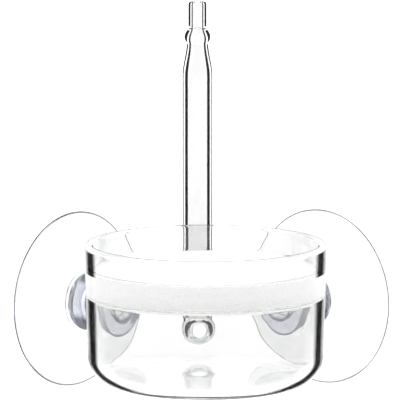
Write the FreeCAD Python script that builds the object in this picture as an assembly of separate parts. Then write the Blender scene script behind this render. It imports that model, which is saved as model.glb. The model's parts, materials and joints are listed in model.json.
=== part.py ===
# Glass carbon dioxide diffuser for the corner of an aquarium.
#
# Gas comes down a glass tube behind the cup, turns through an elbow into the sealed
# chamber under a porous ceramic disc, and rises through the disc as fine bubbles into
# the open well above it.  Two soft suction cups turn on glass pegs and hold the
# diffuser on the two panes of a tank corner.
#
# Frame, in millimetres: the origin is the centre of the cup's underside, +Z is up,
# +Y points back into the tank corner, and +X is to the right seen from the front.

import FreeCAD
import Part
import math
import os

from FreeCAD import Vector

# Glass cup
cup_rim_radius = 25.0          # outside, at the open top
cup_height = 29.4
cup_wall = 1.7
cup_base = 1.8
cup_lean_deg = 1.4             # the wall leans in by this angle on its way down
cup_outer_heel_radius = 6.2
cup_inner_heel_radius = 4.6

# Ceramic disc, fused into the cup
disc_depth = 5.4               # from the rim down to the disc's top face
disc_thickness = 5.0
upper_seal_size = 0.8          # fillets of glass above and below the disc's edge
lower_seal_size = 1.3

# Gas tube and its elbow
tube_outer_radius = 3.15
tube_wall = 1.05
tube_cup_gap = 1.1             # between the tube and the cup's rim
tube_rise = 46.8               # from the rim up to the top of the hose end
elbow_inside_radius = 0.6      # of the inner side of the bend
elbow_height = 7.0             # of the horizontal run's axis
inlet_radius = 1.5             # of the gas way where it opens through the cup's wall
elbow_weld_size = 0.9

# Hose end, from the top down: a thin tip, a bulge that holds the hose, and a shoulder
tip_radius = 1.9
tip_wall = 0.95
tip_length = 5.7
bulge_radius = 2.7
bulge_length = 2.9
waist_radius = 2.25
waist_wall = 0.9
shoulder_length = 7.0

# Pegs for the suction cups, on the back of the cup's wall
peg_spread_deg = 45.0          # each side of straight back
peg_height = 13.5
peg_stem_radius = 2.5
peg_bulb_radius = 3.0
peg_length = 7.2
peg_neck_rounding = 1.0
peg_weld_size = 0.9

# Suction cups.  Depths are measured from the plane of the lip towards the glass cup.
suction_radius = 18.6
suction_depth = 12.0           # from the lip to the mouth of the hub
suction_hollow_depth = 2.6
lip_thickness = 0.5
lip_land = 0.8                 # width of the flat ring that meets the pane
dome_depth = 4.3               # where the dome ends and the hub begins
dome_bow = 0.35                # how far the dome's back curves out of a plain cone
hub_root_radius = 6.0
hub_mouth_radius = 6.8
hub_rounding = 0.8             # of the mouth's outer edge
socket_clearance = 0.05        # all round the peg
socket_flare = 1.3             # countersink at the mouth, clear of the peg's weld
hub_cup_gap = 0.7              # between the hub's mouth and the glass cup

SAME_PLACE = 1e-4              # two points closer than this are one point

# Derived sizes
LEAN = math.radians(cup_lean_deg)
disc_top = cup_height - disc_depth
disc_bottom = disc_top - disc_thickness
tube_y = cup_rim_radius + tube_cup_gap + tube_outer_radius
tube_bore_radius = tube_outer_radius - tube_wall
bend_radius = tube_outer_radius + elbow_inside_radius
bend_top = elbow_height + bend_radius
tip_bore_radius = tip_radius - tip_wall
hose_end_top = cup_height + tube_rise
tip_bottom = hose_end_top - tip_length
waist_top = tip_bottom - bulge_length
shoulder_bottom = waist_top - shoulder_length


def outer_radius(z):
    """Outside radius of the cup's leaning wall at height z."""
    return cup_rim_radius - (cup_height - z) * math.tan(LEAN)


def inner_radius(z):
    """Inside radius of the cup's leaning wall at height z."""
    return outer_radius(z) - cup_wall / math.cos(LEAN)


def point(r, z):
    return Vector(r, 0, z)


def line(a, b):
    return Part.LineSegment(a, b).toShape()


def arc(a, middle, b):
    return Part.Arc(a, middle, b).toShape()


def on_circle(centre, radius, degrees):
    """Point of a circle in the XZ plane, with the angle measured from +X towards +Z."""
    angle = math.radians(degrees)
    return centre + point(radius * math.cos(angle), radius * math.sin(angle))


def revolve(edges):
    """Solid of revolution about Z of a closed outline in the XZ plane."""
    face = Part.Face(Part.Wire(edges))
    return face.revolve(Vector(0, 0, 0), Vector(0, 0, 1), 360)


def heel_circle(wall_radius, floor, radius):
    """Centre of the arc that joins a floor at height `floor` to the leaning wall."""
    height = floor + radius
    return point(wall_radius(height) - radius / math.cos(LEAN), height)


def cup_outline(wall_radius, floor, heel_radius, top):
    """Edges from the axis along a floor, round the heel and up the wall to `top`."""
    centre = heel_circle(wall_radius, floor, heel_radius)
    start = on_circle(centre, heel_radius, -90)
    middle = on_circle(centre, heel_radius, -45)
    end = on_circle(centre, heel_radius, -cup_lean_deg)
    return [line(point(0, floor), start), arc(start, middle, end), line(end, top)]


def make_glass_cup(elbow_blank):
    """Open cup with a fire-polished rim and a hole in its back wall for the elbow."""
    half_wall = cup_wall / 2
    rim_height = cup_height - half_wall
    rim = point(outer_radius(rim_height) - half_wall / math.cos(LEAN), rim_height)
    rim_out = on_circle(rim, half_wall, -cup_lean_deg)
    rim_top = on_circle(rim, half_wall, 90 - cup_lean_deg)
    rim_in = on_circle(rim, half_wall, 180 - cup_lean_deg)
    outside = cup_outline(outer_radius, 0, cup_outer_heel_radius, rim_out)
    inside = cup_outline(inner_radius, cup_base, cup_inner_heel_radius, rim_in)
    edges = outside + [arc(rim_out, rim_top, rim_in)] + inside[::-1]
    edges.append(line(point(0, cup_base), point(0, 0)))
    return revolve(edges).cut(elbow_blank)


def make_filled(wall_radius, floor, heel_radius):
    """Solid inside the cup's outer or inner surface, which other pieces are trimmed against."""
    top = point(wall_radius(cup_height), cup_height)
    edges = cup_outline(wall_radius, floor, heel_radius, top)
    edges.append(line(top, point(0, cup_height)))
    edges.append(line(point(0, cup_height), point(0, floor)))
    return revolve(edges)


def make_ceramic_disc():
    low = inner_radius(disc_bottom)
    high = inner_radius(disc_top)
    return Part.makeCone(low, high, disc_thickness, point(0, disc_bottom))


def make_disc_seal(disc_face, size, up):
    """Ring of glass that fills the corner between the cup's wall and a disc face.

    up is 1 above the disc and -1 below it.
    """
    corner = point(inner_radius(disc_face), disc_face)
    on_wall = point(inner_radius(disc_face + up * size), disc_face + up * size)
    on_disc = corner - point(size, 0)
    hollow = on_circle(point(on_disc.x, on_wall.z), size, -45 * up)
    return revolve([line(corner, on_wall), arc(on_wall, hollow, on_disc), line(on_disc, corner)])


def upright_tube(outer, inner, low, high):
    place = Vector(0, tube_y, low)
    return Part.makeCylinder(outer, high - low, place).cut(Part.makeCylinder(inner, high - low, place))


def make_bend(radius):
    """Quarter turn of the elbow and its run through the wall, as a solid rod."""
    centre = Vector(0, tube_y - bend_radius, bend_top)
    run_start = Vector(0, tube_y - bend_radius, elbow_height)
    section = Part.Face(Part.Wire(Part.makeCircle(radius, run_start, Vector(0, 1, 0))))
    quarter = section.revolve(centre, Vector(1, 0, 0), 90)
    run = Part.makeCylinder(radius, run_start.y, run_start, Vector(0, -1, 0))
    return quarter.fuse(run).removeSplitter()


def make_tube_elbow(elbow_blank, cup_blank):
    """Elbow that ends flush with the inside of the cup, with a narrower inlet in the wall."""
    inlet = Part.makeCylinder(inlet_radius, tube_y, Vector(0, 0, elbow_height), Vector(0, 1, 0))
    bore = make_bend(tube_bore_radius).cut(cup_blank)
    return elbow_blank.cut(bore).cut(inlet.common(cup_blank))


def make_weld(blank, rod, size):
    """Cone of glass round a rod where it meets the outside of the cup."""
    joined = blank.fuse(rod)
    rims = [
        edge for edge in joined.Edges
        if touches(edge, blank) and touches(edge, rod)
    ]
    filled = joined.makeChamfer(size, rims)
    return largest_solid(filled.cut(blank).cut(rod))


def touches(edge, solid):
    """True when the middle and the ends of an edge lie on the surface of a solid."""
    skin = solid.Shells[0]
    first, last = edge.ParameterRange
    for share in (0.1, 0.5, 0.9):
        spot = edge.valueAt(first + share * (last - first))
        if skin.distToShape(Part.Vertex(spot))[0] > SAME_PLACE:
            return False
    return True


def largest_solid(shape):
    return max(shape.Solids, key=lambda solid: solid.Volume)


def make_hose_end():
    """Drawn end of the tube that the gas hose is pushed over, with its bore."""
    top = hose_end_top
    waist_bore = waist_radius - waist_wall
    shoulder_mid = shoulder_bottom + shoulder_length / 2
    outside = [
        point(waist_radius, waist_top),
        point((waist_radius + tube_outer_radius) / 2, shoulder_mid),
        point(tube_outer_radius, shoulder_bottom),
    ]
    bore = [
        point(tube_bore_radius, shoulder_bottom),
        point((waist_bore + tube_bore_radius) / 2, shoulder_mid),
        point(waist_bore, waist_top),
        point(tip_bore_radius, tip_bottom),
    ]
    bulge_middle = point(bulge_radius, (tip_bottom + waist_top) / 2)
    lip = tip_wall / 2
    edges = [
        arc(point(tip_radius - lip, top), on_circle(point(tip_radius - lip, top - lip), lip, 45),
            point(tip_radius, top - lip)),
        line(point(tip_radius, top - lip), point(tip_radius, tip_bottom)),
        arc(point(tip_radius, tip_bottom), bulge_middle, point(waist_radius, waist_top)),
        smooth(outside),
        line(outside[-1], bore[0]),
        smooth(bore),
        line(bore[-1], point(tip_bore_radius, top - lip)),
        arc(point(tip_bore_radius, top - lip), on_circle(point(tip_radius - lip, top - lip), lip, 135),
            point(tip_radius - lip, top)),
    ]
    solid = revolve(edges)
    solid.translate(Vector(0, tube_y, 0))
    return solid


def smooth(points):
    """Curve through points that leaves both ends straight up and down."""
    curve = Part.BSplineCurve()
    down = Vector(0, 0, points[-1].z - points[0].z).normalize()
    curve.interpolate(Points=points, InitialTangent=down, FinalTangent=down)
    return curve.toShape()


def make_peg_rod(extra):
    """Stem with a bulb at its end, along +Z from the cup's axis, grown all round by extra."""
    stem = peg_stem_radius + extra
    bulb = peg_bulb_radius + extra
    root = outer_radius(peg_height) - cup_wall
    centre = point(0, outer_radius(peg_height) + peg_length - peg_bulb_radius)
    neck_height = centre.z - math.sqrt(bulb ** 2 - stem ** 2)
    rod = Part.makeCylinder(stem, centre.z - root, point(0, root))
    peg = rod.fuse(Part.makeSphere(bulb, centre))
    neck = [edge for edge in peg.Edges if is_ring(edge, stem, neck_height)]
    return peg.makeFillet(peg_neck_rounding - extra, neck)


def is_ring(edge, radius, height):
    """True for the circle of this radius round Z at this height."""
    spot = edge.valueAt(edge.FirstParameter)
    on_radius = abs(math.hypot(spot.x, spot.y) - radius) < SAME_PLACE
    return edge.Closed and on_radius and abs(spot.z - height) < SAME_PLACE


def make_suction_cup():
    """Soft suction cup along +Z from the glass cup's axis, before it is turned to its side."""
    mouth = outer_radius(peg_height) + hub_cup_gap
    lip = mouth + suction_depth
    hollow_rim = point(suction_radius - lip_land, lip)
    hollow_top = point(0, lip - suction_hollow_depth)
    sagitta = suction_hollow_depth
    hollow_radius = (hollow_rim.x ** 2 + sagitta ** 2) / (2 * sagitta)
    half_angle = math.degrees(math.asin(hollow_rim.x / hollow_radius)) / 2
    hollow_mid = on_circle(hollow_top + point(0, hollow_radius), hollow_radius, -90 + half_angle)
    lip_out = point(suction_radius, lip)
    lip_back = point(suction_radius, lip - lip_thickness)
    hub_root = point(hub_root_radius, lip - dome_depth)
    hub_mouth = point(hub_mouth_radius, mouth)
    dome_mid = point(
        (lip_back.x + hub_root.x) / 2,
        (lip_back.z + hub_root.z) / 2 + dome_bow,
    )
    edges = [
        arc(hollow_top, hollow_mid, hollow_rim),
        line(hollow_rim, lip_out),
        line(lip_out, lip_back),
        arc(lip_back, dome_mid, hub_root),
        line(hub_root, hub_mouth),
        line(hub_mouth, point(0, mouth)),
        line(point(0, mouth), hollow_top),
    ]
    solid = revolve(edges)
    mouth_edge = [edge for edge in solid.Edges if is_ring(edge, hub_mouth_radius, mouth)]
    return solid.makeFillet(hub_rounding, mouth_edge)


def make_flare():
    """Countersink at the mouth of the hub's socket."""
    mouth = outer_radius(peg_height) + hub_cup_gap
    socket_radius = peg_stem_radius + socket_clearance
    return Part.makeCone(
        socket_radius + socket_flare, socket_radius, socket_flare, point(0, mouth)
    )


def turn_to_side(solid, side):
    """Lay a shape that runs along +Z at the peg's height, turned towards one pane."""
    solid = solid.copy()
    solid.rotate(Vector(0, 0, 0), Vector(1, 0, 0), -90)
    solid.rotate(Vector(0, 0, 0), Vector(0, 0, 1), -side * peg_spread_deg)
    solid.translate(Vector(0, 0, peg_height))
    return solid


cup_blank = make_filled(outer_radius, 0, cup_outer_heel_radius)
cavity = make_filled(inner_radius, cup_base, cup_inner_heel_radius)
elbow_blank = make_bend(tube_outer_radius).cut(cavity)
run_rod = Part.makeCylinder(
    tube_outer_radius,
    cup_rim_radius + elbow_weld_size * 2,
    Vector(0, 0, elbow_height),
    Vector(0, 1, 0),
)

nodes = {
    "glass_cup": make_glass_cup(elbow_blank),
    "ceramic_disc": make_ceramic_disc(),
    "upper_disc_seal": make_disc_seal(disc_top, upper_seal_size, 1),
    "lower_disc_seal": make_disc_seal(disc_bottom, lower_seal_size, -1),
    "gas_tube": upright_tube(tube_outer_radius, tube_bore_radius, bend_top, shoulder_bottom),
    "tube_elbow": make_tube_elbow(elbow_blank, cup_blank),
    "elbow_weld": make_weld(cup_blank, run_rod, elbow_weld_size),
    "hose_end": make_hose_end(),
}

for name, side in (("left", -1), ("right", 1)):
    peg_rod = turn_to_side(make_peg_rod(0), side)
    socket = turn_to_side(make_peg_rod(socket_clearance), side)
    flare = turn_to_side(make_flare(), side)
    cup = turn_to_side(make_suction_cup(), side)
    nodes[name + "_peg"] = largest_solid(peg_rod.cut(cup_blank))
    nodes[name + "_peg_weld"] = make_weld(cup_blank, peg_rod, peg_weld_size)
    nodes[name + "_suction_cup"] = cup.cut(socket).cut(flare)

os.makedirs("parts", exist_ok=True)
for name, shape in nodes.items():
    solid = largest_solid(shape)
    solid.exportStep("parts/" + name + ".step")
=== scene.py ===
# Looks of the glass carbon dioxide diffuser: fused glass, porous ceramic, soft clear vinyl.
import json
import math

import bmesh
import bpy
from mathutils import Matrix, Vector


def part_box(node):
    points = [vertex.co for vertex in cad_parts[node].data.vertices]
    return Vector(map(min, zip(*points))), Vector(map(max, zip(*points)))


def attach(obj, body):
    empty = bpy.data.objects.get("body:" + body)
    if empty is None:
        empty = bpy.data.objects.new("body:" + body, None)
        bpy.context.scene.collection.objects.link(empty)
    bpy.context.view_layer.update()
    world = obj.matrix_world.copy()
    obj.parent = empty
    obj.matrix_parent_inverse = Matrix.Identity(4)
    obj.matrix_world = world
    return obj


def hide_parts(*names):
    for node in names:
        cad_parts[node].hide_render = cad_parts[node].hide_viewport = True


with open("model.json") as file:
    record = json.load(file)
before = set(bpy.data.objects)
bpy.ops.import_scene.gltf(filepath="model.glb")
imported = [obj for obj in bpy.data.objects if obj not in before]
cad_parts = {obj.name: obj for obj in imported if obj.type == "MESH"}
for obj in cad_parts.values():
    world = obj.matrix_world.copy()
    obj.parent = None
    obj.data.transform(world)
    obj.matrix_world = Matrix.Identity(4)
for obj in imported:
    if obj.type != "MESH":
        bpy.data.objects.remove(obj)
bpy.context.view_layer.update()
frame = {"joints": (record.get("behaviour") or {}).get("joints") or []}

# Shapes are worked out in millimetres and stored in metres.
MM = 0.001


def box_mm(node):
    low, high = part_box(node)
    return low / MM, high / MM


# ---------------------------------------------------------------- sizes from the frame
cup_high = box_mm("glass_cup")[1]
disc_low, disc_high = box_mm("ceramic_disc")
tube_low, tube_high = box_mm("gas_tube")
elbow_low = box_mm("tube_elbow")[0]
hose_low, hose_high = box_mm("hose_end")
suction_low, suction_high = box_mm("right_suction_cup")

RIM = cup_high.z
TUBE_Y = (tube_low.y + tube_high.y) / 2
TUBE_R = tube_high.x
BEND_TOP = tube_low.z
RUN_Z = elbow_low.z + TUBE_R
BEND_R = BEND_TOP - RUN_Z
SHOULDER_LOW = hose_low.z
HOSE_TOP = hose_high.z
PEG_Z = frame["joints"][0]["pos_m"][2] / MM

# ---------------------------------------------------------------- sizes of the details
CUP_WALL = 1.7
CUP_BASE = 1.8
LEAN = math.radians(1.4)
OUTER_HEEL = 6.2
INNER_HEEL = 4.6
UPPER_SEAL = 0.8
LOWER_SEAL = 1.3

DISC_GRIP = 0.03               # how far the disc's rim stands into the glass wall
DISC_EDGE = 0.06

TUBE_WALL = 1.05
INLET_R = 1.5                  # gas way where it opens through the cup's wall
INLET_ROUND = 0.3
RUN_WELD = 0.9
TIP_R = 1.9
TIP_WALL = 0.95
TIP_LENGTH = 5.7
BULGE_R = 2.7
BULGE_LENGTH = 2.9
WAIST_R = 2.25
WAIST_WALL = 0.9
BULGE_FULLNESS = 0.85          # below 1, the bulge is fuller than a sine
BORE_SWELL = 0.2               # how much the gas way widens inside the bulge

PEG_SPREAD = math.radians(45)
PEG_STEM = 2.5
PEG_BULB = 3.0
PEG_LENGTH = 7.2
PEG_NECK = 1.0
PEG_WELD = 0.9
PEG_START = 0.15               # from the end of the weld to the stem's first ring
PEG_CAP = 4                    # degrees from the bulb's tip to its last ring

# ---------------------------------------------------------------- painted dark bands of the clear pieces
# Painted shade, where clear material looks dark against a bright room.  The first three numbers
# are sines of the angle to the surface, round the direction in which it was drawn: a painted dark
# band lies between the first two, and everything beyond the third is painted dark.  The last three
# are that direction, or 0 where there is none.  No sine reaches 2, so a limit of about 2 leaves
# its band out.
NO_EDGE = 2.2
CLEAR = (2.0, 2.1, NO_EDGE, 0, 0, 0)

# Sines beyond which the glass rods, bends and rims, and parts of the vinyl cups, are painted dark.
ROD_LIMIT = 0.74
BEND_LIMIT = 0.84
RIM_LIMIT = 0.92
LIP_LIMIT = 0.62
MOUTH_LIMIT = 0.72
DOME_LIMIT = 0.98
HUB_LIMIT = 0.86

# Heights over which the wall of the cup turns upright, and its painted dark band becomes a fine
# line.
STEEP_FROM = 2.5
STEEP_HEIGHT = 4
FINE_FROM = 2
FINE_HEIGHT = 1.5

BOND_BELOW = 0.4               # the glass is clear from here below the disc
BOND_SHORT = 0.6               # to here below the disc's top
# The tube's outer dark edge is painted shade.
CREASE = 0.2                   # a tube's outer dark edge breaks off this near the bulge's ends


def wall_bands(steep, thin=0):
    """Painted shade in a band just inside the edge of the cup's wall, where real glass bends light
    away.

    steep is 1 where it stands upright, and thin is 1 where the painted band is a fine grey line.
    """
    return 0.92 + 0.052 * thin, 0.984 + 0.002 * thin, NO_EDGE, 0, 0, steep


def tube_bands(bore, radius, along=(0, 0, 1)):
    """Painted shade where a real tube bends light away: beside its bore, and again where the light
    misses the bore.

    A wider bore moves all three limits outwards.
    """
    more = bore / radius - 0.5
    return 0.52 + 0.75 * more, 0.66 + 1.05 * more, 0.78 + 0.93 * more, *along


def edge_bands(limit, along=(0, 0, 0)):
    """Painted shade on solid glass or vinyl everywhere beyond one limit, where the real piece
    bends light away.
    """
    return 1.9, 2.0, limit, *along


def mixed(a, b, t):
    return tuple(x * (1 - t) + y * t for x, y in zip(a, b))


# ---------------------------------------------------------------- mesh helpers


class Skin:
    """Points and faces of one piece, gathered ring by ring."""

    def __init__(self):
        self.points = []
        self.faces = []
        self.bands = []

    def ring(self, points, bands=CLEAR):
        first = len(self.points)
        self.points.extend(points)
        self.bands.extend([bands] * len(points))
        return list(range(first, len(self.points)))

    def bridge(self, a, b):
        count = len(a)
        for i in range(count):
            j = (i + 1) % count
            self.faces.append((a[i], a[j], b[j], b[i]))

    def cap(self, ring, point):
        tip = self.ring([point])[0]
        count = len(ring)
        for i in range(count):
            self.faces.append((ring[i], ring[(i + 1) % count], tip))

    def piece(self, name, material):
        mesh = bpy.data.meshes.new(name)
        mesh.from_pydata([Vector(p) * MM for p in self.points], [], self.faces)
        # Stores where painted shade lies at each point, and the direction it is measured round.
        for name_of, first in (("painted_shade_bands", 0), ("drawn_along", 3)):
            stored = mesh.attributes.new(name_of, "FLOAT_VECTOR", "POINT")
            values = [value for bands in self.bands for value in bands[first:first + 3]]
            stored.data.foreach_set("vector", values)
        bm = bmesh.new()
        bm.from_mesh(mesh)
        loose = [v for v in bm.verts if not v.link_faces]
        bmesh.ops.delete(bm, geom=loose, context="VERTS")
        bmesh.ops.recalc_face_normals(bm, faces=bm.faces)
        bm.to_mesh(mesh)
        bm.free()
        mesh.materials.append(material)
        mesh.shade_smooth()
        made = bpy.data.objects.new(name, mesh)
        bpy.context.scene.collection.objects.link(made)
        return made


def arc_points(centre, radius, start, end, count):
    """count + 1 points (r, z) of an arc, with its angles in degrees."""
    found = []
    for i in range(count + 1):
        angle = math.radians(start + (end - start) * i / count)
        found.append((centre[0] + radius * math.cos(angle), centre[1] + radius * math.sin(angle)))
    return found


def between(a, b, count):
    """Points from a to b, without a and with b."""
    return [
        tuple(a[i] + (b[i] - a[i]) * step / count for i in range(len(a)))
        for step in range(1, count + 1)
    ]


def smoothstep(t):
    return t * t * (3 - 2 * t)


# ---------------------------------------------------------------- the cup's profile


def wall_line(z, inset):
    """Radius of the leaning wall at height z, set in from the outside by inset."""
    return cup_high.x - (RIM - CUP_WALL / 2 - z) * math.tan(LEAN) - inset / math.cos(LEAN)


def heel(inset, floor, radius):
    """Centre (r, z) of the curve between the wall and the floor or the underside."""
    height = floor + radius
    return wall_line(height, inset) - radius / math.cos(LEAN), height


OUTER_CENTRE = heel(0, 0, OUTER_HEEL)
INNER_CENTRE = heel(CUP_WALL, CUP_BASE, INNER_HEEL)


def surface_radius(z, outside):
    """Radius of the cup's outer or inner surface at height z, on its wall or its heel."""
    inset, centre, radius = (
        (0, OUTER_CENTRE, OUTER_HEEL) if outside else (CUP_WALL, INNER_CENTRE, INNER_HEEL)
    )
    if z >= centre[1] - radius * math.sin(LEAN):
        return wall_line(z, inset)
    return centre[0] + math.sqrt(radius ** 2 - (centre[1] - z) ** 2)


PEG_ROOT = surface_radius(PEG_Z, True)
AXIS_R = 0.5                   # innermost ring of the underside and the floor
AROUND = 288                   # columns round the cup
HALF_BLOCK = 9                 # half the rows and columns of a patch that holds a weld
OUTER_STEP = 0.53              # row height through the outer patches
INNER_STEP = 0.48
INNER_LIFT = 0.1               # the inner patch sits this much higher than the tube's run
outer_first = RUN_Z - HALF_BLOCK * OUTER_STEP
inner_first = RUN_Z + INNER_LIFT - HALF_BLOCK * INNER_STEP
peg_row = round((PEG_Z - outer_first) / OUTER_STEP) - HALF_BLOCK
outer_levels = [outer_first + OUTER_STEP * i for i in range(peg_row + 2 * HALF_BLOCK + 1)]
inner_levels = [inner_first + INNER_STEP * i for i in range(2 * HALF_BLOCK + 1)]


def cup_profile():
    """Rows (r, z) from the middle of the underside, over the rim, to the middle of the floor."""
    rows = [(AXIS_R, 0.0)] + between((AXIS_R, 0.0), (OUTER_CENTRE[0], 0.0), 14)
    low = math.degrees(math.asin((outer_first - OUTER_CENTRE[1]) / OUTER_HEEL))
    rows += arc_points(OUTER_CENTRE, OUTER_HEEL, -90, low, 16)[1:-1]
    outer_row = len(rows)
    rows += [(surface_radius(z, True), z) for z in outer_levels]
    half = CUP_WALL / 2
    rim = (wall_line(RIM - half, half), RIM - half)
    lean = math.degrees(LEAN)
    arc_rim = arc_points(rim, half, -lean, 180 - lean, 18)
    rows += between(rows[-1], arc_rim[0], 26) + arc_rim[1:]
    outside_rows = len(rows)
    seal_top = disc_high.z + UPPER_SEAL
    seal_low = disc_low.z - LOWER_SEAL
    on_wall = (surface_radius(seal_top, False), seal_top)
    rows += between(rows[-1], on_wall, 5)
    rows += arc_points((on_wall[0] - UPPER_SEAL, seal_top), UPPER_SEAL, 0, -90, 10)[1:]
    below = (surface_radius(seal_low, False), seal_low)
    rows += arc_points((below[0] - LOWER_SEAL, seal_low), LOWER_SEAL, 90, 0, 12)
    rows += between(rows[-1], (surface_radius(inner_levels[-1], False), inner_levels[-1]), 5)[:-1]
    inner_row = len(rows)
    rows += [(surface_radius(z, False), z) for z in reversed(inner_levels)]
    high = math.degrees(math.asin((inner_first - INNER_CENTRE[1]) / INNER_HEEL))
    rows += arc_points(INNER_CENTRE, INNER_HEEL, high, -90, 8)[1:]
    rows += between(rows[-1], (AXIS_R, CUP_BASE), 14)
    return rows, outside_rows, outer_row, inner_row


def bands_at(z):
    """Painted dark bands of the cup's outside, which end where the disc and its seals fill the
    cup.
    """
    if disc_low.z - BOND_BELOW < z < disc_high.z - BOND_SHORT:
        return CLEAR
    steep = min(1, max(0, (z - STEEP_FROM) / STEEP_HEIGHT))
    thin = min(1, max(0, (FINE_FROM - z) / FINE_HEIGHT))
    return wall_bands(steep, thin)


def rim_bands(turn):
    """The rounded rim is drawn round the cup, and gets a fine painted dark line along its edges.
    """
    return edge_bands(RIM_LIMIT, (math.cos(turn), -math.sin(turn), 0))


class Patch:
    """Square hole in the cup's grid that a rod leaves through, square to the wall."""

    def __init__(self, turn, height, first_row, outside):
        self.turn = turn
        self.height = height
        self.outside = outside
        self.rows = range(first_row, first_row + 2 * HALF_BLOCK)
        column = round(turn / (2 * math.pi) * AROUND)
        self.columns = [(column - HALF_BLOCK + i) % AROUND for i in range(2 * HALF_BLOCK)]
        self.axis = Vector((math.sin(turn), math.cos(turn), 0))
        self.across = Vector((math.cos(turn), -math.sin(turn), 0))

    def holds(self, row, column):
        return row in self.rows and column in self.columns

    def edge(self):
        """(row, column) of the hole's edge, anticlockwise seen from outside the cup."""
        size = 2 * HALF_BLOCK
        low, left = self.rows[0], self.columns[0]
        path = [(low, left + i) for i in range(size)]
        path += [(low + i, left + size) for i in range(size)]
        path += [(low + size, left + size - i) for i in range(size)]
        path += [(low + size - i, left) for i in range(size)]
        return [(row, column % AROUND) for row, column in path]

    def depth(self, x, z):
        """Distance of the cup's surface from its axis, at x across and height z."""
        return math.sqrt(surface_radius(z, self.outside) ** 2 - x ** 2)

    def place(self, x, z, depth):
        return self.axis * depth + self.across * x + Vector((0, 0, z))

    def flat(self, point):
        return Vector(point).dot(self.across), point[2]


SPOKES = 8 * HALF_BLOCK


def spoke(k):
    """Angle of spoke k, where spoke 0 points at a patch's lower left corner."""
    return math.radians(-135) + 2 * math.pi * k / SPOKES


def follow(skin, ring, rings, bands=CLEAR):
    """Faces from a ring through each of these rings of points in turn, to the last one."""
    for points in rings:
        following = skin.ring(points, bands)
        skin.bridge(ring, following)
        ring = following
    return ring


def weld_rings(skin, patch, edge, rod, size, wall, beyond):
    """Rings from a patch's edge, round a fillet of glass, to the start of a rod or a hole.

    wall and beyond are the painted dark bands of the cup's wall here and of the rod or the hole.
    """
    flats = [patch.flat(skin.points[i]) for i in edge]
    ring = edge
    steps = 7
    for step in range(1, steps + 1):
        t = step / steps
        points = []
        for k in range(SPOKES):
            x = flats[k][0] * (1 - t) + (rod + size) * math.cos(spoke(k)) * t
            z = flats[k][1] * (1 - t) + (patch.height + (rod + size) * math.sin(spoke(k))) * t
            points.append(patch.place(x, z, patch.depth(x, z)))
        ring = follow(skin, ring, [points], wall)
    bends = 9
    for step in range(1, bends + 1):
        angle = math.pi / 2 * step / bends
        rho = rod + size * (1 - math.sin(angle))
        rise = size * (1 - math.cos(angle))
        points = []
        for k in range(SPOKES):
            x = rho * math.cos(spoke(k))
            z = patch.height + rho * math.sin(spoke(k))
            points.append(patch.place(x, z, patch.depth(x, z) + rise))
        ring = follow(skin, ring, [points], mixed(wall, beyond, step / bends))
    return ring


def circle(centre, right, up, radius):
    """Ring of points with one for each spoke."""
    return [
        centre + right * (radius * math.cos(spoke(k))) + up * (radius * math.sin(spoke(k)))
        for k in range(SPOKES)
    ]


# ---------------------------------------------------------------- gas tube, elbow, hose end
RIGHT = Vector((1, 0, 0))
FRONT = Vector((0, -1, 0))
UP = Vector((0, 0, 1))
BEND_STEP = 6                  # degrees between the rings of the bend


def run_ring(y, radius):
    return circle(Vector((0, y, RUN_Z)), RIGHT, UP, radius)


def bend_ring(angle, radius):
    """Ring of the elbow's bend, from 0 at the run to 90 degrees at the upright tube."""
    turn = math.radians(angle)
    y = TUBE_Y - BEND_R + BEND_R * math.sin(turn)
    z = BEND_TOP - BEND_R * math.cos(turn)
    return circle(Vector((0, y, z)), RIGHT, Vector((0, -math.sin(turn), math.cos(turn))), radius)


def upright_ring(z, radius):
    return circle(Vector((0, TUBE_Y, z)), RIGHT, FRONT, radius)


TIP_LOW = HOSE_TOP - TIP_LENGTH
WAIST = TIP_LOW - BULGE_LENGTH
TUBE_BORE = TUBE_R - TUBE_WALL
TIP_BORE = TIP_R - TIP_WALL
WAIST_BORE = WAIST_R - WAIST_WALL
RUN_BANDS = tube_bands(TUBE_BORE, TUBE_R, (0, 1, 0))


def hose_outline():
    """(r, z) of the hose end's outside, from the tube up to the lip of the mouth."""
    lip = TIP_WALL / 2
    points = []
    steps = 24
    for i in range(1, steps + 1):
        t = i / steps
        r = TUBE_R + (WAIST_R - TUBE_R) * smoothstep(t)
        points.append((r, SHOULDER_LOW + (WAIST - SHOULDER_LOW) * t))
    swell = BULGE_R - (WAIST_R + TIP_R) / 2
    for i in range(1, steps + 1):
        t = i / steps
        base = WAIST_R + (TIP_R - WAIST_R) * smoothstep(t)
        r = base + swell * math.sin(math.pi * t) ** BULGE_FULLNESS
        points.append((r, WAIST + BULGE_LENGTH * t))
    points += between(points[-1], (TIP_R, HOSE_TOP - lip), 8)
    points += arc_points((TIP_R - lip, HOSE_TOP - lip), lip, 0, 180, 14)[1:]
    return points


def bore_radius(z):
    """Radius of the gas way at height z, which swells a little inside the bulge."""
    if z >= TIP_LOW:
        return TIP_BORE
    if z >= WAIST:
        t = (TIP_LOW - z) / BULGE_LENGTH
        swell = BORE_SWELL * math.sin(math.pi * t)
        return TIP_BORE + (WAIST_BORE - TIP_BORE) * smoothstep(t) + swell
    t = min(1, (WAIST - z) / (WAIST - SHOULDER_LOW))
    return WAIST_BORE + (TUBE_BORE - WAIST_BORE) * smoothstep(t)


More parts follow.
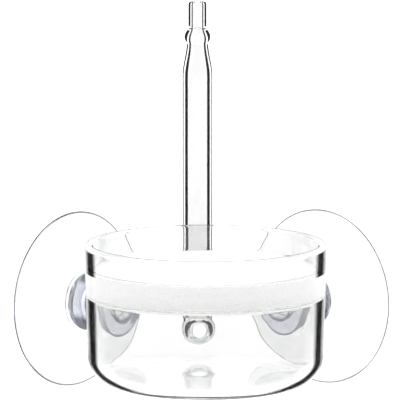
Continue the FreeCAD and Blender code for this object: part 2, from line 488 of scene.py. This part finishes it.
def gas_tube_outside(skin, ring):
    """Outside of the gas tube, from its weld on the cup up to its rounded mouth."""
    ring = follow(skin, ring, [run_ring(TUBE_Y - BEND_R, TUBE_R)], RUN_BANDS)
    for angle in range(BEND_STEP, 90 + BEND_STEP, BEND_STEP):
        turn = math.radians(angle)
        bands = edge_bands(BEND_LIMIT, (0, math.cos(turn), math.sin(turn)))
        ring = follow(skin, ring, [bend_ring(angle, TUBE_R)], bands)
    rings = [upright_ring(z, TUBE_R) for (z,) in between((BEND_TOP,), (SHOULDER_LOW,), 40)]
    ring = follow(skin, ring, rings, tube_bands(TUBE_BORE, TUBE_R))
    for r, z in hose_outline():
        bands = tube_bands(bore_radius(z), max(r, TIP_R))
        if min(abs(z - TIP_LOW), abs(z - WAIST)) < CREASE:
            bands = (*bands[:2], NO_EDGE, *bands[3:])
        ring = follow(skin, ring, [upright_ring(z, r)], bands)
    return ring


def gas_tube_bore(skin, ring):
    """Gas way, from the mouth of the tube back down to the inlet in the cup's wall."""
    heights = between((HOSE_TOP - TIP_WALL / 2,), (SHOULDER_LOW,), 60)
    rings = [upright_ring(z, bore_radius(z)) for (z,) in heights]
    rings += [upright_ring(z, TUBE_BORE) for (z,) in between((SHOULDER_LOW,), (BEND_TOP,), 16)]
    rings += [bend_ring(angle, TUBE_BORE) for angle in range(90 - BEND_STEP, -1, -BEND_STEP)]
    bend_start = TUBE_Y - BEND_R
    wall = surface_radius(RUN_Z, True)
    round_off = (TUBE_BORE - INLET_R) / 2
    middle = INLET_R + round_off
    rings += [run_ring(y, TUBE_BORE) for (y,) in between((bend_start,), (wall + round_off,), 4)]
    step = arc_points((middle, wall + round_off), round_off, 0, -90, 6)[1:]
    step += arc_points((middle, wall - round_off), round_off, 90, 180, 6)[1:]
    rings += [run_ring(y, r) for r, y in step]
    return follow(skin, ring, rings)


# ---------------------------------------------------------------- pegs


def neck_and_bulb(stem, bulb, neck, end):
    """(radius, distance from the cup's axis) from a peg's stem round its bulb.

    neck is the radius of the curve between them, and the bulb stops at end degrees from its tip.
    """
    centre = PEG_ROOT + PEG_LENGTH - PEG_BULB
    reach = math.sqrt((bulb + neck) ** 2 - (stem + neck) ** 2)
    toward = math.degrees(math.atan2(stem + neck, -reach))
    points = arc_points((centre - reach, stem + neck), neck, 270, toward + 180, 8)
    points += arc_points((centre, 0), bulb, toward, end, 26)[1:]
    return [(r, u) for u, r in points]


def peg_outline():
    """(radius, distance from the cup's axis) of a peg, from its weld to its end."""
    points = neck_and_bulb(PEG_STEM, PEG_BULB, PEG_NECK, PEG_CAP)
    start = (PEG_STEM, PEG_ROOT + PEG_WELD + PEG_START)
    return between(start, points[0], 3) + points[1:]


def add_peg(skin, patch, ring):
    rings = [
        [
            patch.place(r * math.cos(spoke(k)), PEG_Z + r * math.sin(spoke(k)), depth)
            for k in range(SPOKES)
        ]
        for r, depth in peg_outline()
    ]
    ring = follow(skin, ring, rings, edge_bands(ROD_LIMIT, patch.axis))
    skin.cap(ring, patch.place(0, PEG_Z, PEG_ROOT + PEG_LENGTH))


# ---------------------------------------------------------------- all the glass, fused


def cup_grid(skin, rows, outside_rows, patches):
    """Rings of the cup, and the faces between them outside the patches."""
    grid = []
    turns = [2 * math.pi * i / AROUND for i in range(AROUND)]
    for row, (r, z) in enumerate(rows):
        points = [Vector((r * math.sin(t), r * math.cos(t), z)) for t in turns]
        ring = skin.ring(points, bands_at(z) if row < outside_rows else CLEAR)
        if z > RIM - CUP_WALL / 2:
            for i, t in zip(ring, turns):
                skin.bands[i] = rim_bands(t)
        grid.append(ring)
    for row in range(len(rows) - 1):
        for column in range(AROUND):
            if any(patch.holds(row, column) for patch in patches):
                continue
            after = (column + 1) % AROUND
            skin.faces.append(
                (grid[row][column], grid[row][after], grid[row + 1][after], grid[row + 1][column])
            )
    skin.cap(grid[0], Vector((0, 0, 0)))
    skin.cap(grid[-1], Vector((0, 0, CUP_BASE)))
    return grid


def fused_glass(material):
    """Cup, pegs and gas tube as one skin, which runs in through the inlet and out at the mouth."""
    skin = Skin()
    rows, outside_rows, outer_row, inner_row = cup_profile()
    run_outside = Patch(0, RUN_Z, outer_row, True)
    run_inside = Patch(0, RUN_Z, inner_row, False)
    pegs = [Patch(side * PEG_SPREAD, PEG_Z, outer_row + peg_row, True) for side in (-1, 1)]
    grid = cup_grid(skin, rows, outside_rows, [run_outside, run_inside] + pegs)
    upright = wall_bands(1)
    for peg in pegs:
        edge = [grid[row][column] for row, column in peg.edge()]
        solid = edge_bands(ROD_LIMIT, peg.axis)
        ring = weld_rings(skin, peg, edge, PEG_STEM, PEG_WELD, upright, solid)
        add_peg(skin, peg, ring)
    edge = [grid[row][column] for row, column in run_outside.edge()]
    ring = weld_rings(skin, run_outside, edge, TUBE_R, RUN_WELD, upright, RUN_BANDS)
    ring = gas_tube_outside(skin, ring)
    ring = gas_tube_bore(skin, ring)
    inside = [grid[row][column] for row, column in run_inside.edge()]
    # Rows count downwards on the inside, so its edge is walked the other way round.
    size = 2 * HALF_BLOCK
    inside = [inside[(3 * size - k) % SPOKES] for k in range(SPOKES)]
    last = weld_rings(skin, run_inside, inside, INLET_R, INLET_ROUND, CLEAR, CLEAR)
    skin.bridge(ring, last)
    return skin.piece("blown_glass", material)


# ---------------------------------------------------------------- turned pieces


def turned(name, outline, material, around, place=Matrix.Identity(4), bands=None):
    """Piece turned about Z from an outline (r, z) that starts and ends on the axis.

    bands is a function from a point of the outline to its painted dark bands.
    """
    skin = Skin()
    spokes = [2 * math.pi * i / around for i in range(around)]
    rings = [
        skin.ring(
            [place @ Vector((r * math.cos(t), r * math.sin(t), z)) for t in spokes],
            bands(r, z) if bands else CLEAR,
        )
        for r, z in outline[1:-1]
    ]
    for a, b in zip(rings, rings[1:]):
        skin.bridge(a, b)
    skin.cap(rings[0], place @ Vector((0, 0, outline[0][1])))
    skin.cap(rings[-1], place @ Vector((0, 0, outline[-1][1])))
    return skin.piece(name, material)


def ceramic_disc(material):
    """Thick disc whose rim is bonded into the glass, with softly worn edges."""
    low, high = disc_low.z, disc_high.z
    edge = DISC_EDGE
    bottom = surface_radius(low, False) + DISC_GRIP
    top = surface_radius(high, False) + DISC_GRIP
    outline = [(0, low)] + between((0, low), (bottom - edge, low), 40)
    outline += arc_points((bottom - edge, low + edge), edge, -90, 0, 4)[1:]
    outline += between(outline[-1], (top, high - edge), 20)
    outline += arc_points((top - edge, high - edge), edge, 0, 90, 4)[1:]
    outline += between(outline[-1], (0, high), 60)
    return turned("sintered_disc", outline, material, 256)


# ---------------------------------------------------------------- suction cups
SUCTION_R = (suction_high.z - suction_low.z) / 2
LIP = suction_high.y / math.sin(PEG_SPREAD) - SUCTION_R
HUB_GAP = 0.7
SOCKET_GAP = 0.05
SOCKET_FLARE = 1.3
HOLLOW = 2.6
LIP_LAND = 0.8
LIP_THICK = 0.5
DOME_DEPTH = 4.3
HUB_ROOT = 6.0
HUB_MOUTH = 6.8
HUB_ROUND = 0.8
DOME_BOW = 0.35                # how far the dome's back bows out of a cone
FOOT_OUT = 0.5                 # where the dome's back ends, out from the hub's root
FOOT_RISE = 0.25
ROOT_ROUND = 0.75              # curve between the dome and the hub
ROOT_DROP = 0.55
BEYOND_HUB = 0.5               # wider than the hub's mouth by this, all is dome or lip


def suction_outline():
    """(radius, distance from the cup's axis) round one suction cup, from hollow to socket."""
    mouth = PEG_ROOT + HUB_GAP
    rim = SUCTION_R - LIP_LAND
    sphere = (rim ** 2 + HOLLOW ** 2) / (2 * HOLLOW)
    half = math.degrees(math.asin(rim / sphere))
    points = arc_points((0, LIP - HOLLOW + sphere), sphere, -90, -90 + half, 40)
    half_lip = LIP_THICK / 2
    points += [(SUCTION_R - half_lip, LIP)]
    points += arc_points((SUCTION_R - half_lip, LIP - half_lip), half_lip, 90, -90, 10)[1:]
    root = (HUB_ROOT, LIP - DOME_DEPTH)
    back = points[-1]
    steps = 36
    for i in range(1, steps):
        t = i / steps
        bow = DOME_BOW * 4 * t * (1 - t)
        r = back[0] + (root[0] + FOOT_OUT - back[0]) * t
        points.append((r, back[1] + (root[1] + FOOT_RISE - back[1]) * t + bow))
    points += arc_points((root[0] + ROOT_ROUND, root[1] - ROOT_DROP), ROOT_ROUND, 90, 172, 7)
    side = (HUB_MOUTH, mouth + HUB_ROUND)
    points += between(points[-1], side, 10)
    points += arc_points((HUB_MOUTH - HUB_ROUND, mouth + HUB_ROUND), HUB_ROUND, 0, -90, 8)[1:]
    stem = PEG_STEM + SOCKET_GAP
    points += between(points[-1], (stem + SOCKET_FLARE, mouth), 4)
    points += between(points[-1], (stem, mouth + SOCKET_FLARE), 5)
    return points + neck_and_bulb(stem, PEG_BULB + SOCKET_GAP, PEG_NECK - SOCKET_GAP, 0)


def vinyl_bands(r, depth):
    """The rolled lip and the hub get a painted dark edge, and the thin dome hardly any.

    depth is the distance from the cup's axis.
    """
    if r > SUCTION_R - LIP_THICK:
        return edge_bands(LIP_LIMIT)
    if depth < PEG_ROOT + HUB_GAP + HUB_ROUND and r > HUB_MOUTH - HUB_ROUND:
        return edge_bands(MOUTH_LIMIT)
    if r > HUB_MOUTH + BEYOND_HUB or depth > LIP - DOME_DEPTH:
        return edge_bands(DOME_LIMIT)
    return edge_bands(HUB_LIMIT)


def suction_cup(name, side, material):
    lay = Matrix.Rotation(math.radians(-90), 4, "X")
    turn = Matrix.Rotation(-side * PEG_SPREAD, 4, "Z")
    place = Matrix.Translation((0, 0, PEG_Z)) @ turn @ lay
    return turned(name, suction_outline(), material, 224, place, vinyl_bands)


# ---------------------------------------------------------------- materials


def new_material(name):
    material = bpy.data.materials.new(name)
    material.use_nodes = True
    nodes = material.node_tree.nodes
    return material, nodes, material.node_tree.links, nodes["Principled BSDF"]


def maths(nodes, links, operation, *values):
    node = nodes.new("ShaderNodeMath")
    node.operation = operation
    for socket, value in zip(node.inputs, values):
        if isinstance(value, (int, float)):
            socket.default_value = value
        else:
            links.new(value, socket)
    return node.outputs[0]


def noise(nodes, links, scale, detail, stretch=(1, 1, 1)):
    """Noise in the piece's own coordinates, at this many features a metre."""
    place = nodes.new("ShaderNodeTexCoord")
    mapping = nodes.new("ShaderNodeMapping")
    mapping.inputs["Scale"].default_value = stretch
    links.new(place.outputs["Object"], mapping.inputs["Vector"])
    texture = nodes.new("ShaderNodeTexNoise")
    texture.inputs["Scale"].default_value = scale
    texture.inputs["Detail"].default_value = detail
    links.new(mapping.outputs["Vector"], texture.inputs["Vector"])
    return texture.outputs["Fac"]


def blend(nodes, links, share, a, b):
    """Mixture of the colours a and b, all b where share is 1."""
    node = nodes.new("ShaderNodeMix")
    node.data_type = "RGBA"
    links.new(share, node.inputs["Factor"])
    node.inputs["A"].default_value = (*a, 1)
    node.inputs["B"].default_value = (*b, 1)
    return node.outputs["Result"]


def bump(nodes, links, height, distance, shader):
    node = nodes.new("ShaderNodeBump")
    node.inputs["Distance"].default_value = distance
    links.new(height, node.inputs["Height"])
    links.new(node.outputs["Normal"], shader.inputs["Normal"])


def past(nodes, links, value, limit, softness):
    """0 below the limit and 1 above it, over a short slope."""
    over = maths(nodes, links, "DIVIDE", maths(nodes, links, "SUBTRACT", value, limit), softness)
    node = nodes.new("ShaderNodeClamp")
    links.new(maths(nodes, links, "ADD", over, 0.5), node.inputs["Value"])
    return node.outputs["Result"]


def vector(nodes, links, operation, *values):
    node = nodes.new("ShaderNodeVectorMath")
    node.operation = operation
    for socket, value in zip(node.inputs, values):
        links.new(value, socket)
    return node.outputs["Value" if operation == "DOT_PRODUCT" else "Vector"]


def stored(nodes, name):
    node = nodes.new("ShaderNodeAttribute")
    node.attribute_name = name
    return node.outputs["Vector"]


def cosine(nodes, links, normal):
    """Cosine of the angle between the ray and this direction."""
    node = nodes.new("ShaderNodeLayerWeight")
    node.inputs["Blend"].default_value = 0.5
    links.new(normal, node.inputs["Normal"])
    return maths(nodes, links, "SUBTRACT", 1.0, node.outputs["Facing"])


LEAST_SHARE = 0.001            # keeps a look straight down the length from dividing by 0


def sine_round(nodes, links, along):
    """Sine of the angle that clear material is met at, seen down its own length."""
    surface = nodes.new("ShaderNodeNewGeometry").outputs["Normal"]
    lengthwise = nodes.new("ShaderNodeVectorMath")
    lengthwise.operation = "SCALE"
    links.new(along, lengthwise.inputs[0])
    links.new(vector(nodes, links, "DOT_PRODUCT", surface, along), lengthwise.inputs["Scale"])
    across = vector(nodes, links, "SUBTRACT", surface, lengthwise.outputs["Vector"])
    met = cosine(nodes, links, vector(nodes, links, "NORMALIZE", across))
    slant = cosine(nodes, links, along)
    left = maths(nodes, links, "SUBTRACT", 1.0, maths(nodes, links, "MULTIPLY", slant, slant))
    left = maths(nodes, links, "MAXIMUM", left, LEAST_SHARE)
    share = maths(nodes, links, "DIVIDE", maths(nodes, links, "MULTIPLY", met, met), left)
    return maths(nodes, links, "SQRT", maths(nodes, links, "SUBTRACT", 1.0, share))


def painted_darkness(nodes, links, waver, softness):
    """How much painted shade clear material gets, from its mesh's painted dark bands and the angle
    it is met at.
    """
    sine = sine_round(nodes, links, stored(nodes, "drawn_along"))
    uneven = noise(nodes, links, scale=220, detail=2, stretch=(1, 1, 0.35))
    drift = maths(nodes, links, "MULTIPLY_ADD", uneven, waver, -waver / 2)
    sine = maths(nodes, links, "ADD", sine, drift)
    bands = nodes.new("ShaderNodeSeparateXYZ")
    # Where painted shade lies at each point of the mesh.
    links.new(stored(nodes, "painted_shade_bands"), bands.inputs["Vector"])
    begins = past(nodes, links, sine, bands.outputs["X"], softness)
    ends = past(nodes, links, sine, bands.outputs["Y"], softness)
    solid = past(nodes, links, sine, bands.outputs["Z"], softness)
    band = maths(nodes, links, "SUBTRACT", begins, ends)
    both = maths(nodes, links, "MAXIMUM", band, solid)
    side = nodes.new("ShaderNodeNewGeometry")
    front = maths(nodes, links, "SUBTRACT", 1.0, side.outputs["Backfacing"])
    return maths(nodes, links, "MULTIPLY", both, front)


def painted_shade_coat(nodes, links, shade, depth, shader):
    """Paint shade with a black coat, darkening both what is seen through a surface and what is
    mirrored in it.
    """
    shader.inputs["Coat IOR"].default_value = 1.0
    shader.inputs["Coat Tint"].default_value = (0, 0, 0, 1)
    links.new(maths(nodes, links, "MULTIPLY", shade, depth), shader.inputs["Coat Weight"])


def absorb(nodes, links, colour, density):
    """Body colour that deepens with the length of clear material that light crosses."""
    volume = nodes.new("ShaderNodeVolumeAbsorption")
    volume.inputs["Color"].default_value = (*colour, 1)
    volume.inputs["Density"].default_value = density
    links.new(volume.outputs["Volume"], nodes["Material Output"].inputs["Volume"])


def glass_material():
    """Hand-worked borosilicate glass: colourless, with painted dark bands of shade and faint drawn
    ripples.
    """
    material, nodes, links, shader = new_material("borosilicate_glass")
    shader.inputs["Transmission Weight"].default_value = 1
    shader.inputs["IOR"].default_value = 1.474
    shader.inputs["Roughness"].default_value = 0.0
    # Painted shade: a black coat darkens the glass in its dark bands.
    shade = painted_darkness(nodes, links, waver=0.012, softness=0.03)
    painted_shade_coat(nodes, links, shade, 0.975, shader)
    ripples = noise(nodes, links, scale=160, detail=1, stretch=(1, 1, 0.3))
    bump(nodes, links, ripples, 0.03 * MM, shader)
    absorb(nodes, links, colour=(0.80, 0.92, 0.90), density=6.0)
    return material


def vinyl_material():
    """Soft clear vinyl with a faint blue body colour, painted dark edges and a slightly uneven
    moulded skin.
    """
    material, nodes, links, shader = new_material("soft_vinyl")
    shader.inputs["Transmission Weight"].default_value = 1
    shader.inputs["IOR"].default_value = 1.52
    shader.inputs["Roughness"].default_value = 0.03
    # Painted shade: a black coat darkens the vinyl's lip, hub and dome edges.
    shade = painted_darkness(nodes, links, waver=0.03, softness=0.06)
    painted_shade_coat(nodes, links, shade, 0.7, shader)
    bump(nodes, links, noise(nodes, links, scale=260, detail=2), 0.04 * MM, shader)
    absorb(nodes, links, colour=(0.50, 0.53, 0.63), density=75.0)
    return material


def ceramic_material():
    """Sintered white ceramic: fine open pores over a faint mottle."""
    material, nodes, links, shader = new_material("porous_ceramic")
    grain = noise(nodes, links, scale=5200, detail=3)
    mottle = noise(nodes, links, scale=420, detail=3)
    pores = nodes.new("ShaderNodeValToRGB")
    pores.color_ramp.elements[0].position = 0.30
    pores.color_ramp.elements[0].color = (0.78, 0.78, 0.77, 1)
    pores.color_ramp.elements[1].position = 0.46
    pores.color_ramp.elements[1].color = (0.985, 0.985, 0.98, 1)
    links.new(grain, pores.inputs["Fac"])
    tint = nodes.new("ShaderNodeMix")
    tint.data_type = "RGBA"
    tint.blend_type = "MULTIPLY"
    tint.inputs["Factor"].default_value = 1
    links.new(pores.outputs["Color"], tint.inputs["A"])
    cloudy = blend(nodes, links, mottle, (0.93, 0.93, 0.93), (1.0, 1.0, 1.0))
    links.new(cloudy, tint.inputs["B"])
    links.new(tint.outputs["Result"], shader.inputs["Base Color"])
    links.new(maths(nodes, links, "MULTIPLY_ADD", grain, 0.15, 0.78), shader.inputs["Roughness"])
    bump(nodes, links, grain, 0.08 * MM, shader)
    return material


def floor_material():
    """Matt near-white board with a faint mottle."""
    material, nodes, links, shader = new_material("pale_floor")
    shader.inputs["Roughness"].default_value = 0.9
    speck = noise(nodes, links, scale=30, detail=2)
    colour = blend(nodes, links, speck, (0.94, 0.94, 0.94), (0.96, 0.96, 0.96))
    links.new(colour, shader.inputs["Base Color"])
    return material


# ---------------------------------------------------------------- pieces
blown = fused_glass(glass_material())
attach(blown, "glass_body")
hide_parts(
    "glass_cup", "upper_disc_seal", "lower_disc_seal", "gas_tube", "tube_elbow",
    "elbow_weld", "hose_end", "left_peg", "right_peg", "left_peg_weld", "right_peg_weld",
)

disc = ceramic_disc(ceramic_material())
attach(disc, "glass_body")
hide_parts("ceramic_disc")

vinyl = vinyl_material()
for name, side in (("left", -1), ("right", 1)):
    cup = suction_cup(name + "_vinyl_cup", side, vinyl)
    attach(cup, name + "_suction")
    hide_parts(name + "_suction_cup")

# ---------------------------------------------------------------- floor, light and camera
FLOOR_DROP = 150.0             # the diffuser hangs well above the floor
FLOOR_HALF = 6000.0


def make_floor():
    skin = Skin()
    half = FLOOR_HALF
    low = suction_low.z - FLOOR_DROP
    corners = [(-half, -half, low), (half, -half, low), (half, half, low), (-half, half, low)]
    skin.faces.append(tuple(skin.ring([Vector(c) for c in corners])))
    return skin.piece("floor", floor_material())


make_floor()

ROOM_STRENGTH = 1.75           # light from behind and from the sides
FRONT_STRENGTH = 0.8           # and from straight in front
SIDE_COSINE = 0.2              # where the front starts to dim


def make_world():
    """White light from all round, dimmer from the front."""
    world = bpy.data.worlds.new("studio")
    world.use_nodes = True
    bpy.context.scene.world = world
    nodes = world.node_tree.nodes
    links = world.node_tree.links
    background = nodes["Background"]
    background.inputs["Color"].default_value = (1, 1, 1, 1)
    direction = nodes.new("ShaderNodeTexCoord").outputs["Generated"]
    toward = nodes.new("ShaderNodeCombineXYZ")
    toward.inputs["Y"].default_value = -1
    front = vector(nodes, links, "DOT_PRODUCT", direction, toward.outputs["Vector"])
    strength = nodes.new("ShaderNodeMapRange")
    strength.interpolation_type = "SMOOTHSTEP"
    strength.inputs["From Min"].default_value = SIDE_COSINE
    strength.inputs["From Max"].default_value = 1.0
    strength.inputs["To Min"].default_value = ROOM_STRENGTH
    strength.inputs["To Max"].default_value = FRONT_STRENGTH
    links.new(front, strength.inputs["Value"])
    links.new(strength.outputs["Result"], background.inputs["Strength"])


make_world()

VIEW_AZIMUTH = math.radians(-3.3)
VIEW_ELEVATION = math.radians(8.5)
VIEW_DISTANCE = 950.0
FRAME_WIDTH = 82.35
AIM = Vector((-1.15, 0, 38.3))


def make_camera():
    data = bpy.data.cameras.new("camera")
    data.sensor_width = 36
    data.lens = data.sensor_width * VIEW_DISTANCE / FRAME_WIDTH
    data.clip_end = 50
    camera = bpy.data.objects.new("camera", data)
    back = Vector((
        math.sin(VIEW_AZIMUTH) * math.cos(VIEW_ELEVATION),
        -math.cos(VIEW_AZIMUTH) * math.cos(VIEW_ELEVATION),
        math.sin(VIEW_ELEVATION),
    ))
    camera.location = (AIM + back * VIEW_DISTANCE) * MM
    camera.rotation_euler = back.to_track_quat("Z", "Y").to_euler()
    bpy.context.scene.collection.objects.link(camera)
    bpy.context.scene.camera = camera


make_camera()
bpy.context.scene.view_settings.view_transform = "Standard"

# Light runs a long way inside the glass walls before it leaves them.  Blurred, it would leave
# the ceramic behind them dim.
GLASS_BOUNCES = 64
paths = bpy.context.scene.cycles
paths.max_bounces = GLASS_BOUNCES
paths.transmission_bounces = GLASS_BOUNCES
paths.glossy_bounces = 16
paths.diffuse_bounces = 12
paths.blur_glossy = 0
